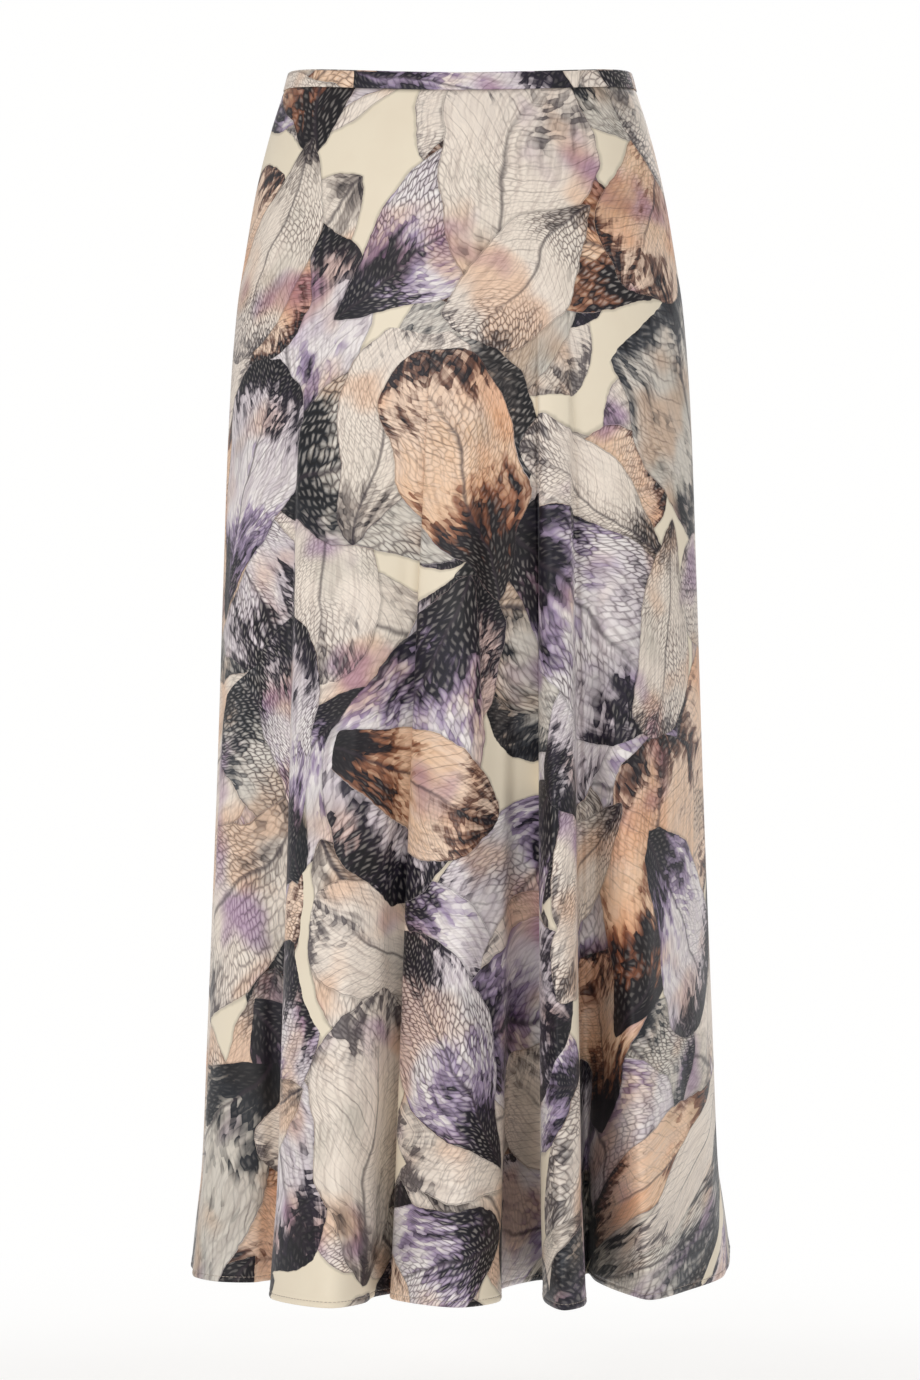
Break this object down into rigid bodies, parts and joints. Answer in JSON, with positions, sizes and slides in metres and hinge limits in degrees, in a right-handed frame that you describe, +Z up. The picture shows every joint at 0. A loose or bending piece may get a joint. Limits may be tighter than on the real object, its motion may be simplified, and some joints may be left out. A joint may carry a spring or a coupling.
{
  "type": "bias-cut midi skirt",
  "caption": "Bias-cut midi skirt in its worn, hollow shape, with a narrow waistband, deep folds to a flared hem and a concealed side zip with a swinging pull.",
  "frame": {"origin": "centre of the waist opening, level with the waist edge at the sides", "axes": "+Z up towards the waist, -Y towards the front of the skirt, +X towards the wearer's left"},
  "size_m": [0.4087, 0.431, 0.8862],
  "materials": {
    "print_cloth": "light satin-backed crepe with a soft sheen and an all-over print",
    "band_cloth": "the same printed cloth, interfaced and pressed flat",
    "zip_tape": "woven polyester zip tape with a nylon coil",
    "zip_metal": "enamelled zinc, satin"
  },
  "bodies": {
    "garment": {"front": "print_cloth", "back": "print_cloth", "waistband_front": "band_cloth", "waistband_back": "band_cloth", "zip_tape": "zip_tape", "zip_slider": "zip_metal"},
    "pull": {"zip_pull": "zip_metal"}
  },
  "joints": [
    {"name": "pull_hinge", "type": "hinge", "parent": "garment", "child": "pull", "pos_m": [0.12725, 0.02619, -0.00559], "axis": [0.3344, -0.9424, 0], "range_deg": [0, 165]}
  ]
}
